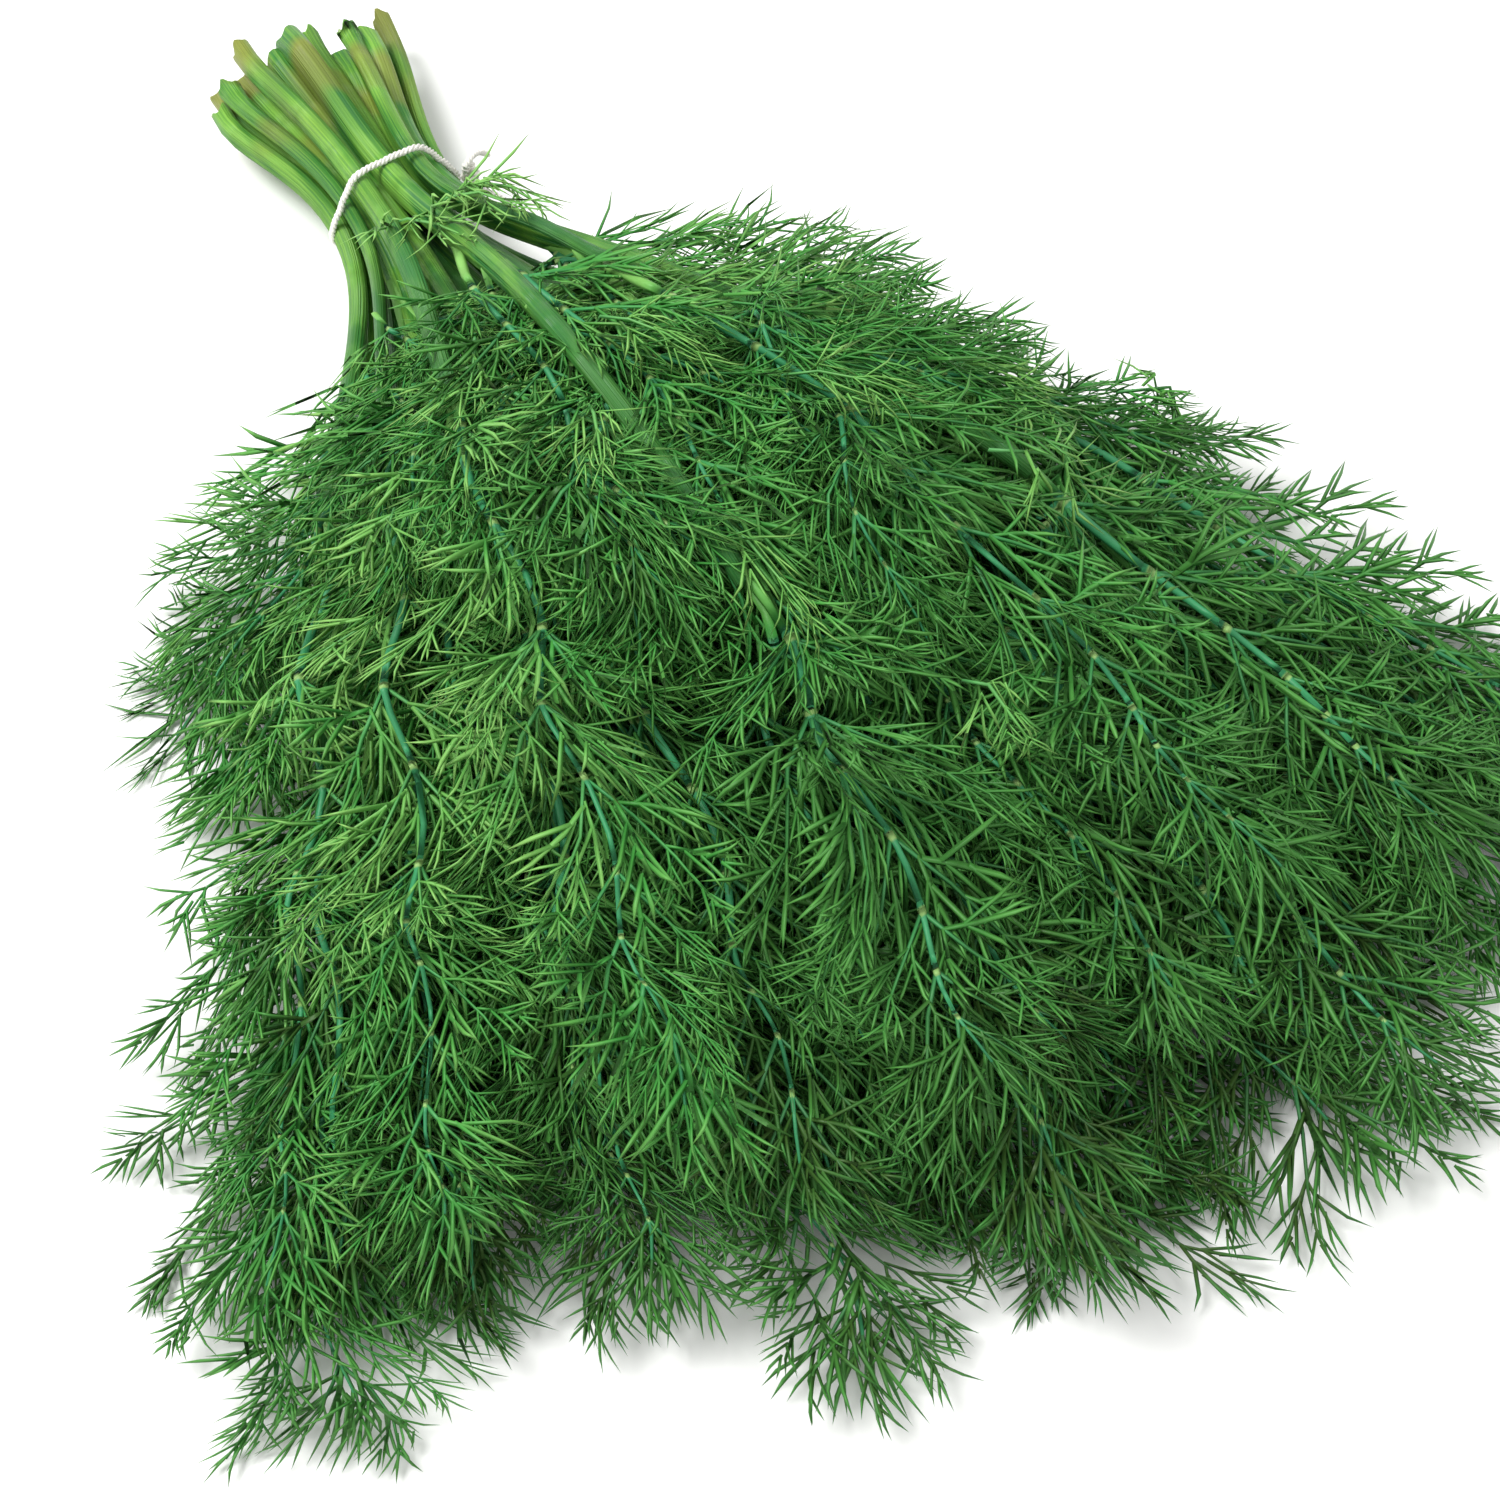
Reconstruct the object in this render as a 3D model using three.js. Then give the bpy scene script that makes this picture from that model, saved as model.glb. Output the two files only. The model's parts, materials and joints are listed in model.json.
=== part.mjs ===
// A bunch of dill tied with cotton string, lying on its side.
// Millimetres, +Z up. The cut ends point to +Y and the leaf tips to -Y.
//
// The stems lie in rows, one above the other, and each row opens into a fan of leaves.
// A place in the bunch is given by its row, by reach, the distance from the string, and by
// lane, which runs from -1 to 1 across the row's fan. Each stem has a lane of its own.
import * as THREE from "three";

// Overall sizes
const TIE_TO_TIP = 290;
const TIE_TO_CUT = 54;
const FAN_HALF_ANGLE = 38;
const PILE_HEIGHT = 72;
const TIP_HEIGHT = 34;
const SIDE_DROP = 0.24;

// Stems
const THICK_STEM = 5.4;
const MIDDLE_STEM = 4.2;
const THIN_STEM = 3.0;
const STEM_GAP = 0.35;
const STEM_TAPER = 0.62;
const STEM_SIDES = 8;
const STEM_STEPS_PER_POINT = 2;
const CUT_SPLAY = 0.85;
const CUT_SWAY = 0.8;
const CUT_STAGGER = 9;
const CUT_ROW_RISE = 4.2;

// Leaves
const FIRST_LEAF = 32;
const SIDE_LEAF = 112;
const SINGLE_LEAF_START = 74;
const LEAF_STAGGER = 6;
const LEAF_GAP = 0.6;
const LAYER_GAP = 0.5;
const LEAF_EDGE = 0.34;
const LEAF_LOBES = 4;
const LEAF_STEPS = 9;
const LEAF_STRIPS = 4;

// String
const STRING_THICKNESS = 1.5;
const STRING_GAP = 0.2;
const STRING_SIDES = 8;
const LOOP_STEPS = 6;
const KNOT_LENGTH = 7;
const KNOT_WIDTH = 4.6;
const TAIL_LENGTHS = [13, 10];

// Rows from the table up: stem sizes from left to right, how far the row fans out, and its tip.
// t is a thick stem with a leaf on each side and one at the end; m and s carry one leaf each.
const ROWS = [
  { stems: "mtm", fan: 0.97, tip: 0.97 },
  { stems: "tmts", fan: 1.0, tip: 1.0 },
  { stems: "mtsts", fan: 0.93, tip: 0.98 },
  { stems: "stmt", fan: 0.76, tip: 0.93 },
  { stems: "mts", fan: 0.52, tip: 0.86 },
];

const STEM_SIZES = { t: THICK_STEM, m: MIDDLE_STEM, s: THIN_STEM };
const PITCH = THICK_STEM + STEM_GAP;
const ROW_RISE = PITCH * Math.sin(Math.PI / 3);
const FAN = THREE.MathUtils.degToRad(FAN_HALF_ANGLE);
const FAN_OPEN = TIE_TO_TIP * 0.32;
const PILE_CREST = TIE_TO_TIP * 0.45;
const LIFT_OFF = FIRST_LEAF * 0.9;
const UP = new THREE.Vector3(0, 0, 1);
const { lerp, smoothstep } = THREE.MathUtils;

// The outer stems cross the string at a slant, which makes them wider there.
const SLANT_ROOM = (THICK_STEM / 2) * (1 / Math.cos(FAN * opening(0)) - 1);
const STRING_OUT = THICK_STEM / 2 + STRING_GAP + SLANT_ROOM;
const LOWEST_ROW = STRING_THICKNESS + STRING_OUT;
const BUNDLE_HALF_WIDTH = PITCH * 2;
const BUNDLE_HEIGHT = LOWEST_ROW + ROW_RISE * (ROWS.length - 1) + THICK_STEM / 2;

const stemGreen = new THREE.MeshStandardMaterial({ color: 0x679940, roughness: 0.45, metalness: 0 });
const leafGreen = new THREE.MeshStandardMaterial({ color: 0x326a2f, roughness: 0.6, metalness: 0 });
const cotton = new THREE.MeshStandardMaterial({ color: 0xefeae0, roughness: 0.9, metalness: 0 });

const bunch = new THREE.Group();

// An even, repeatable spread of values from -1 to 1.
function sway(number) {
  return Math.sin(number * 2.399 + 0.7);
}

// Height of the top of the pile over a point of the table.
function pileHeight(x, y) {
  const out = Math.max(-y, 0);
  const away = Math.hypot(x, y);
  const rise = lerp(BUNDLE_HEIGHT, PILE_HEIGHT, Math.sin(Math.min(out / PILE_CREST, 1) * Math.PI / 2));
  const fall = lerp(1, TIP_HEIGHT / PILE_HEIGHT, smoothstep(away, PILE_CREST, TIE_TO_TIP));
  const side = x / (BUNDLE_HALF_WIDTH + out * Math.tan(FAN));
  return rise * fall * (1 - SIDE_DROP * Math.min(side * side, 1));
}

// How fast the fan has opened at a reach: stems leave the string bent towards each other.
function opening(reach) {
  return 0.5 + 0.5 * smoothstep(reach, -FAN_OPEN * 0.35, FAN_OPEN);
}

function halfRow(row) {
  return (PITCH * ROWS[row].stems.length) / 2;
}

// Millimetres across for one unit of lane.
function laneWidth(row, reach) {
  return halfRow(row) + reach * FAN * ROWS[row].fan * opening(reach);
}

// Place over the table of a reach and lane.
function fanPlace(row, reach, lane) {
  const angle = lane * FAN * ROWS[row].fan * opening(reach);
  return new THREE.Vector2(lane * halfRow(row) + reach * Math.sin(angle), -reach * Math.cos(angle));
}

// Height of the middle of a row over a point of the table.
function rowHeight(row, x, y) {
  return (pileHeight(x, y) * (row + 0.5)) / ROWS.length;
}

function add(name, geometry, material) {
  const mesh = new THREE.Mesh(geometry, material);
  mesh.name = name;
  bunch.add(mesh);
}

// Moves each point of a geometry to where place(point) says.
function reshape(geometry, place) {
  const at = geometry.attributes.position;
  const point = new THREE.Vector3();
  for (let i = 0; i < at.count; i += 1) {
    point.fromBufferAttribute(at, i);
    const moved = place(point);
    at.setXYZ(i, moved.x, moved.y, moved.z);
  }
  geometry.computeVertexNormals();
  return geometry;
}

// A closed rod along a curve, with a radius that changes from start to end.
function rod(curve, startRadius, endRadius, sides, steps) {
  const cylinder = new THREE.CylinderGeometry(1, 1, 1, sides, steps);
  return reshape(cylinder, (point) => {
    const share = point.y + 0.5;
    const along = curve.getTangent(share);
    const side = new THREE.Vector3().crossVectors(along, UP).normalize();
    const over = new THREE.Vector3().crossVectors(side, along);
    const radius = lerp(startRadius, endRadius, share);
    return curve
      .getPoint(share)
      .addScaledVector(side, point.x * radius)
      .addScaledVector(over, point.z * radius);
  });
}

// Radius of a stem at a reach, when it ends at the reach end.
function stemRadius(size, reach, end) {
  return (STEM_SIZES[size] / 2) * lerp(1, STEM_TAPER, (reach + TIE_TO_CUT) / (end + TIE_TO_CUT));
}

// How far a stem thinner than the thickest moves outwards under the string, so that the string
// holds it: x is across and z is up. The stems inside the outer ring stay.
function towardsString(size, row, lane) {
  const fromCentre = new THREE.Vector2(lane * halfRow(row), (row - (ROWS.length - 1) / 2) * ROW_RISE);
  const slack = fromCentre.length() > 1.5 * PITCH ? (THICK_STEM - STEM_SIZES[size]) / 2 : 0;
  return fromCentre.setLength(slack);
}

// A stem from its cut end, through the string, to the reach where its last leaf starts.
function addStem(number, row, lane, size, end) {
  const points = [];
  const cutReach = TIE_TO_CUT - CUT_STAGGER * (0.5 + 0.5 * sway(number));
  const shift = towardsString(size, row, lane);
  const tieX = lane * halfRow(row) + shift.x;
  const tieZ = LOWEST_ROW + row * ROW_RISE + shift.y;
  const cutZ = THICK_STEM / 2 + row * CUT_ROW_RISE + shift.y;
  for (const share of [1, 0.45]) {
    const spread = 1 + CUT_SPLAY * share * (cutReach / TIE_TO_CUT);
    const x = tieX * spread + CUT_SWAY * sway(number + 5) * share * share;
    points.push(new THREE.Vector3(x, cutReach * share, lerp(tieZ, cutZ, share)));
  }
  for (const share of [0, 0.08, 0.18, 0.32, 0.5, 0.75, 1]) {
    const reach = end * share;
    const lifted = smoothstep(reach, 0, LIFT_OFF);
    const place = fanPlace(row, reach, lane);
    place.x += shift.x * (1 - lifted);
    const fanZ = rowHeight(row, place.x, place.y);
    points.push(new THREE.Vector3(place.x, place.y, lerp(tieZ, fanZ, lifted)));
  }
  const curve = new THREE.CatmullRomCurve3(points, false, "centripetal");
  const startRadius = STEM_SIZES[size] / 2;
  const steps = STEM_STEPS_PER_POINT * (points.length - 1);
  const geometry = rod(curve, startRadius, startRadius * STEM_TAPER, STEM_SIDES, steps);
  add(`stem_${pad(number)}`, geometry, stemGreen);
}

// How wide a leaf is along its length, from its neck through its lobes to its tip.
function leafWidth(share) {
  const body = smoothstep(share, -0.12, 0.34) * (1 - 0.72 * smoothstep(share, 0.6, 1.05));
  return body * (1 - 0.2 * Math.abs(Math.cos(share * Math.PI * LEAF_LOBES)));
}

// A leaf: a lobed pad from start to end, kept between two lanes. side is -1 or 1 for a leaf that
// leaves its stem to that side, and 0 for one that goes on from the stem's end.
function addLeaf(name, row, lanes, side, start, end) {
  const roundTip = (end - start) * 0.08;
  const leaf = new THREE.BoxGeometry(2, 2, 1, LEAF_STRIPS, 1, LEAF_STEPS);
  reshape(leaf, (point) => {
    const share = point.z + 0.5;
    const across = point.x;
    const reach = lerp(start, end, share) - roundTip * across * across * share;
    const gap = LEAF_GAP / laneWidth(row, reach);
    const low = lanes.low(reach) + gap;
    const high = lanes.high(reach) - gap;
    const middle = (low + high) / 2;
    const half = ((high - low) / 2) * leafWidth(share);
    const room = (high - low) / 2 - half;
    const lean = -side * (1 - smoothstep(share, 0, 0.5));
    const place = fanPlace(row, reach, middle + lean * room + across * half);
    const centre = rowHeight(row, place.x, place.y);
    const thickest = centre / (2 * row + 1) - LAYER_GAP / 2;
    const ends = LEAF_EDGE + (1 - LEAF_EDGE) * Math.min(1, 5 * share * (1 - share));
    const lens = ends * (1 - (1 - LEAF_EDGE) * across * across);
    const lift = point.y * thickest * lens;
    const z = row === 0 ? Math.max(0, centre + lift * 1.45) : centre + lift;
    return new THREE.Vector3(place.x, place.y, row === 0 ? Math.min(z, centre + thickest) : z);
  });
  add(name, leaf, leafGreen);
}

// The leaves of one stem, inside the stem's lane. Returns the reach where the stem ends.
function addLeaves(number, row, lane, size) {
  const halfLane = 1 / ROWS[row].stems.length;
  const tip = TIE_TO_TIP * ROWS[row].tip * (1 - 0.035 * (1 + sway(number * 3)));
  const whole = { low: () => lane - halfLane, high: () => lane + halfLane };
  if (size !== "t") {
    const start = SINGLE_LEAF_START + 2 * LEAF_STAGGER * sway(number * 2);
    addLeaf(`leaf_${pad(number)}`, row, whole, 0, start, tip);
    return start - LEAF_GAP;
  }
  const leftStart = FIRST_LEAF + LEAF_STAGGER * (1 + sway(number));
  const rightStart = FIRST_LEAF + LEAF_STAGGER * (1 + sway(number + 1.3));
  const fork = Math.max(leftStart, rightStart) + SIDE_LEAF;
  const channel = (reach) => stemRadius(size, reach, fork) / laneWidth(row, reach);
  const left = { low: whole.low, high: (reach) => lane - channel(reach) };
  const right = { low: (reach) => lane + channel(reach), high: whole.high };
  addLeaf(`leaf_${pad(number)}_left`, row, left, -1, leftStart, leftStart + SIDE_LEAF);
  addLeaf(`leaf_${pad(number)}_right`, row, right, 1, rightStart, rightStart + SIDE_LEAF);
  addLeaf(`leaf_${pad(number)}_tip`, row, whole, 0, fork + 2 * LEAF_GAP, tip);
  return fork;
}

function pad(number) {
  return String(number).padStart(2, "0");
}

// A point of the string's loop, which runs straight from corner stem to corner stem.
function loopPoint(turn) {
  const corner = Math.floor(turn * 6) % 6;
  const share = turn * 6 - Math.floor(turn * 6);
  const out = STRING_OUT + STRING_THICKNESS / 2;
  const place = (index, angle) => {
    const around = (index * Math.PI) / 3;
    return new THREE.Vector2(
      BUNDLE_HALF_WIDTH * Math.cos(around) + out * Math.cos(angle),
      BUNDLE_HALF_WIDTH * Math.sin(around) + out * Math.sin(angle),
    );
  };
  const face = (corner * Math.PI) / 3;
  const bend = Math.min(share / 0.6, 1);
  const flat = Math.max((share - 0.6) / 0.4, 0);
  const onCorner = place(corner, face + (bend - 0.5) * (Math.PI / 3));
  const onNext = place(corner + 1, face + Math.PI / 6);
  return onCorner.lerp(onNext, flat);
}

function addString() {
  const centre = LOWEST_ROW + (ROW_RISE * (ROWS.length - 1)) / 2;
  const ring = new THREE.TorusGeometry(2, 1, STRING_SIDES, LOOP_STEPS * 6);
  reshape(ring, (point) => {
    const around = Math.atan2(point.y, point.x);
    const turn = (around / (2 * Math.PI) + 1) % 1;
    const on = loopPoint(Math.round(turn * LOOP_STEPS * 6) / (LOOP_STEPS * 6));
    const out = on.clone().normalize();
    const offset = (Math.hypot(point.x, point.y) - 2) * (STRING_THICKNESS / 2);
    const x = on.x + out.x * offset;
    const z = on.y + out.y * offset;
    return new THREE.Vector3(x, (-point.z * STRING_THICKNESS) / 2, centre + z);
  });
  add("string_loop", ring, cotton);

  const knotX = loopPoint(0).x + STRING_THICKNESS / 2 + STRING_GAP + KNOT_WIDTH / 2;
  const knot = new THREE.SphereGeometry(1, 12, 8);
  reshape(knot, (point) => {
    const waist = 1 - 0.22 * Math.exp(-12 * point.z * point.z);
    const x = knotX + (point.x * waist * KNOT_WIDTH) / 2;
    const y = (point.y * waist * KNOT_WIDTH) / 2;
    return new THREE.Vector3(x, y, centre + (point.z * KNOT_LENGTH) / 2);
  });
  add("string_knot", knot, cotton);

  TAIL_LENGTHS.forEach((length, index) => {
    const up = index === 0 ? 1 : -1;
    const start = KNOT_LENGTH / 2 + STRING_THICKNESS / 2;
    const points = [0, 0.35, 0.7, 1].map((share) => {
      const x = knotX + length * 0.5 * share;
      const y = up * length * 0.45 * share;
      const z = centre + up * start - length * 0.55 * share * share;
      return new THREE.Vector3(x + (up < 0 ? length * 0.2 * share : 0), y, z);
    });
    const curve = new THREE.CatmullRomCurve3(points);
    const radius = STRING_THICKNESS / 2;
    add(`string_tail_${index + 1}`, rod(curve, radius, radius, STRING_SIDES, 6), cotton);
  });
}

let number = 0;
ROWS.forEach(({ stems }, row) => {
  [...stems].forEach((size, place) => {
    number += 1;
    const lane = (2 * place + 1) / stems.length - 1;
    const end = addLeaves(number, row, lane, size);
    addStem(number, row, lane, size, end);
  });
});
addString();

// The origin is under the middle of the bunch, on the table.
const box = new THREE.Box3().setFromObject(bunch);
const middle = box.getCenter(new THREE.Vector3());
bunch.position.set(-middle.x, -middle.y, -box.min.z);
bunch.updateMatrixWorld(true);

export default bunch;
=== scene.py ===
import json
import math
import random

import bmesh
import bpy
import numpy as np
from bpy.props import FloatProperty, FloatVectorProperty, IntProperty, PointerProperty
from mathutils import Color, Matrix, Vector

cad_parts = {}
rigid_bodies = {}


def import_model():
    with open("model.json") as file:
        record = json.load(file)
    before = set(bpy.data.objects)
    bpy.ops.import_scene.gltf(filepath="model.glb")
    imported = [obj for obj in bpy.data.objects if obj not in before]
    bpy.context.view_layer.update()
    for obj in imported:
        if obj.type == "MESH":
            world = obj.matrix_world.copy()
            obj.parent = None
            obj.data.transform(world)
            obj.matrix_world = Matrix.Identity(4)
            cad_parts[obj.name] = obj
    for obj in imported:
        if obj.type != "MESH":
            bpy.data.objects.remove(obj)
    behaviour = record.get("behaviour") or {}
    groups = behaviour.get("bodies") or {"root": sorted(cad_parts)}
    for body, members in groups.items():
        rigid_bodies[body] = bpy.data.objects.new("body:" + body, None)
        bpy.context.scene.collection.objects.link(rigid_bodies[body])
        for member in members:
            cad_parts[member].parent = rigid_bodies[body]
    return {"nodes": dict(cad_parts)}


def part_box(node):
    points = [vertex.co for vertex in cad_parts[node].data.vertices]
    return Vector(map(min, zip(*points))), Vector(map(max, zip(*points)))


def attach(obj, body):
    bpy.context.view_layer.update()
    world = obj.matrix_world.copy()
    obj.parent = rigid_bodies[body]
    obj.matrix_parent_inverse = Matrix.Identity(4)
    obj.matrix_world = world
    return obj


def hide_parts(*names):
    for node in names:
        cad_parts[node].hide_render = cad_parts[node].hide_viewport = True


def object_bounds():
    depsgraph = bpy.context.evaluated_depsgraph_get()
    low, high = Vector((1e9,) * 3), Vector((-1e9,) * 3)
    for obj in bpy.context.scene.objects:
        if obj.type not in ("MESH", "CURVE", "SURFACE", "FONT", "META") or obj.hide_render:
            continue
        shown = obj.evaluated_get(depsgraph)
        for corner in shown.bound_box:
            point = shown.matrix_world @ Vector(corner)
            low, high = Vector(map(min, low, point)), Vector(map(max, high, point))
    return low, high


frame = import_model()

bl_info = {
    "name": "Bunch of Dill",
    "version": (1, 0, 0),
    "blender": (4, 5, 0),
    "location": "View3D > Sidebar > Dill",
    "description": "Grows a tied bunch of dill round its frame: stems, feathery leaves and string",
    "category": "Object",
}

CAD_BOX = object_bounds()
MM = 0.001
BODY = "root"

# The map that holds a leaf's tint across and its place from root to tip upwards. The same name is
# used on the stems and the string, whose maps are unrolled round the rod.
MAP_NAME = "OFBake"
# Width of a thread on the map, and heights on the map: a node, a leaf's own stalk, the stalk of a
# side branch, the root of a thread, and the bare part of a leaf's stalk.
MAP_STRIP = 0.012
NODE_SHARE = 0.015
STALK_SHARE = 0.1
BRANCH_SHARE = 0.18
ROOT_SHARE = 0.24
BARE_SHARE = 0.75

NODES = sorted(frame["nodes"])
STEMS = [name for name in NODES if name.startswith("stem_")]
SIDE_LEAVES = [name for name in NODES if name.endswith(("_left", "_right"))]
END_LEAVES = [name for name in NODES if name.startswith("leaf_") and name not in SIDE_LEAVES]


def middle(node):
    low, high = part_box(node)
    return (np.array(low) + np.array(high)) / 2


TIE = middle("string_loop")

# How much longer or shorter the fan is at its tips, by its angle in degrees from the middle.
FULL_REACH = 0.29
LEAN_ANGLES = (-45, -20, -4, 14, 26, 45)
LEAN_SHARES = (-0.08, -0.1, -0.015, 0.014, 0.016, 0.006)

# How leaves settle: what is lower than the soft height eases onto the table, and what is higher
# than the crown gives way by no more than the spring.
SOFT_HEIGHT = 5 * MM
CROWN = 68 * MM
SPRING = 13 * MM

# Lengths in millimetres and phases of the soft waves along each axis, and how far they move.
WAVES = (((87, 61, 69), 0.3), ((93, 67, 109), 1.9), ((71, 99, 63), 4.1))
WAVE_HEIGHTS = (2.2, 2.2, 1.6)

# No stem or string goes lower than this over the table.
TABLE = 0.05 * MM

# Radius of a strand and its distance from the string's middle, as shares of the string's width.
STRAND_RADIUS = 0.27
STRAND_OFFSET = 0.24

# Where light young leaves lie on top of the heap: the angle in degrees from the middle of the fan,
# the distance from the string in millimetres, and the angle that the leaf points at.
LIGHT_SPOTS = (
    (-12, 74, -40), (6, 82, 15), (24, 92, 60), (-4, 104, -20), (14, 116, 35), (-24, 112, -55),
    (30, 128, 20), (2, 140, -10), (20, 156, 50), (-16, 150, -35), (38, 160, 70), (8, 182, 10),
)

# What the camera looks at, from the middle of the bunch, and each light's name, place from the
# middle, width in metres and power in watts.
AIM = (-0.0032, -0.0487, -0.0059)
ROOM_LIGHT = 0.6
LIGHTS = (("key", (-0.5, 0.4, 1.05), 0.6, 18.0), ("fill", (0.8, -0.5, 0.8), 1.2, 4.5))


# --- sizes and colours that a user may change ---


def millimetres(name, description, size):
    return FloatProperty(
        name=name, description=description, default=size * MM, min=0, unit="LENGTH", precision=5
    )


def angle(name, description, degrees):
    return FloatProperty(
        name=name, description=description, default=math.radians(degrees), subtype="ANGLE"
    )


def colour(name, description, value):
    return FloatVectorProperty(
        name=name, description=description, default=srgb(value), min=0, max=1, subtype="COLOR"
    )


def srgb(value):
    """Linear red, green and blue of an sRGB hex value such as 0x4c8a3d."""
    parts = [(value >> shift & 255) / 255 for shift in (16, 8, 0)]
    return [part / 12.92 if part <= 0.04045 else ((part + 0.055) / 1.055) ** 2.4 for part in parts]


class DillLeafSettings(bpy.types.PropertyGroup):
    """Sizes and colours of the leaves"""

    thread_width: millimetres("Thread width", "Width of one leaf thread at its middle", 1.05)
    thread_length: millimetres("Thread length", "Length of the middle thread of a tuft", 19.5)
    tuft_spacing: millimetres("Tuft spacing", "Distance between tufts along a side branch", 9.8)
    node_spacing: millimetres("Node spacing", "Distance between the lowest side branches", 24.0)
    stalk_width: millimetres("Leaf stalk width", "Width of a leaf's own stalk at its root", 2.3)
    table_gap: millimetres("Table gap", "Least height of a thread over the table", 0.4)
    # Shaded green is painted shade and light green is painted light: the greens of threads in shade
    # and of lit threads. Light green also starts the fresh green of young leaves.
    shade: colour("Shaded green", "Green of the darkest threads", 0x36551F)
    green: colour("Leaf green", "Green of most threads", 0x3E8E3A)
    light: colour("Light green", "Green of lighter threads", 0x6CAA50)
    fresh: colour("Fresh green", "Yellow-green of the youngest threads", 0x96C66A)
    stalk: colour("Stalk green", "Blue-green of the leaves' stalks", 0x368A58)
    node: colour("Node", "Pale yellow-green of the nodes on a leaf's stalk", 0x86AC62)


class DillStemSettings(bpy.types.PropertyGroup):
    """Sizes and colours of the stems"""

    ribs: IntProperty(name="Ribs", description="Fine ribs round a stem", default=11, min=3)
    rib_height: FloatProperty(
        name="Rib height", description="Height of a rib as a share of the radius", default=0.07
    )
    plumpness: FloatProperty(
        name="Plumpness", description="Radius of a fresh stem against its plain rod", default=1.15
    )
    green: colour("Stem green", "Green of most of the rind", 0x458528)
    pale: colour("Pale streaks", "Pale green of the lines and the broad side of a stem", 0x7AAE42)
    # Deep green also paints the shade where a stem runs into the heap.
    deep: colour("Deep green", "Green of the grooves and of the thin stalks", 0x286C2C)
    bruise: colour("Bruised end", "Olive brown of some cut ends", 0x868238)
    pith: colour("Pith", "Pale pith inside a cut end", 0xDDE7B4)


class DillStringSettings(bpy.types.PropertyGroup):
    """Sizes and colours of the string"""

    plies: IntProperty(name="Plies", description="Strands twisted together", default=3, min=2)
    twist: millimetres("Twist", "Length of one full turn of the twist", 3.4)
    cotton: colour("Cotton", "Off-white of raw cotton", 0xF6F3EC)
    # Hollow is painted shade: the grey of the hollows.
    hollow: colour("Hollow", "Grey between the strands", 0xB9B6AC)


class DillStageSettings(bpy.types.PropertyGroup):
    """Camera and floor"""

    azimuth: angle("Camera azimuth", "Direction that the camera looks from", -30)
    elevation: angle("Camera elevation", "Height of the camera as an angle", 59)
    distance: millimetres("Camera distance", "From the camera to its aim", 576)
    field: angle("Field of view", "Width of the camera's view", 27.3)
    floor: colour("Floor", "Pale floor", 0xF4F4F2)


# --- materials ---


COLOURS = {"data_type": "RGBA"}
ON_MAP = {"noise_dimensions": "2D"}


def new_material(name):
    material = bpy.data.materials.new(name)
    material.use_nodes = True
    material.node_tree.nodes.clear()
    return material


def add_node(material, kind, settings=(), inputs=()):
    """Adds one node. Settings are its own values. An input is a plain value, a colour, a socket to
    link, or a node whose first output is linked."""
    node = material.node_tree.nodes.new("ShaderNode" + kind)
    for key, value in dict(settings).items():
        setattr(node, key, value)
    for key, value in dict(inputs).items():
        if isinstance(value, bpy.types.Node):
            value = value.outputs[0]
        if isinstance(value, Color):
            value = (*value, 1)
        if isinstance(value, bpy.types.NodeSocket):
            material.node_tree.links.new(value, node.inputs[key])
        else:
            node.inputs[key].default_value = value
    return node


def ramp_stops(node, stops):
    """Sets a colour ramp to these (place, linear colour) stops."""
    elements = node.color_ramp.elements
    while len(elements) < len(stops):
        elements.new(0.5)
    for element, (place, value) in zip(elements, stops):
        element.position = place
        element.color = (*value, 1)


def surface(material, inputs, skin=None, depth=0.0):
    """Ends a material with its shader and its output. A skin gives it relief of this depth in
    millimetres."""
    if skin is not None:
        relief = {"Height": skin, "Distance": depth * MM, "Strength": 1}
        inputs["Normal"] = add_node(material, "Bump", (), relief)
    shader = add_node(material, "BsdfPrincipled", (), inputs)
    add_node(material, "OutputMaterial", (), {"Surface": shader})
    return material


def leaf_material(settings):
    """Fresh dill leaf: a thin waxy skin over wet green tissue, which looks satin. Each thread is
    darker at its root and lighter towards its tip.
    The tint runs from shaded green to light green, painted shade and painted light, and on to the
    fresh green of the youngest threads. The map gives the tint and the place."""
    material = new_material("fresh_dill_leaf")
    place = add_node(material, "UVMap", {"uv_map": MAP_NAME})
    parts = add_node(material, "SeparateXYZ", (), {0: place})
    greens = (settings.shade, settings.green, settings.light, settings.fresh)
    ramps = []
    for dark, light in zip(greens, greens[1:]):
        ramp = add_node(material, "ValToRGB", (), {0: parts.outputs[1]})
        stops = [(0.02, settings.node), (0.05, settings.stalk), (0.13, settings.stalk)]
        ramp_stops(ramp, stops + [(ROOT_SHARE, dark), (0.4, dark), (1.0, light)])
        ramps.append(ramp)
    # Up to 0.7 the tint mixes shaded green, painted shade, with light green, painted light. Past
    # 0.7 it mixes on to fresh green.
    shade_to_lit = add_node(material, "MapRange", (), {0: parts, 1: 0.0, 2: 0.7})
    young = add_node(material, "MapRange", (), {0: parts, 1: 0.7, 2: 1.0})
    tint = add_node(material, "Mix", COLOURS, {0: shade_to_lit, 6: ramps[0], 7: ramps[1]})
    tint = add_node(material, "Mix", COLOURS, {0: young, 6: tint.outputs[2], 7: ramps[2]})
    where = add_node(material, "TexCoord")
    # The grain of the skin is drawn about 1 mm wide. The real one is too fine to show.
    skin = add_node(material, "TexNoise", (), {"Vector": where.outputs["Object"], "Scale": 900.0})
    gloss = add_node(material, "MapRange", (), {0: skin, 3: 0.38, 4: 0.64})
    inputs = {"Base Color": tint.outputs[2], "Roughness": gloss, "Specular IOR Level": 0.35}
    return surface(material, inputs, skin, 0.05)


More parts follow.
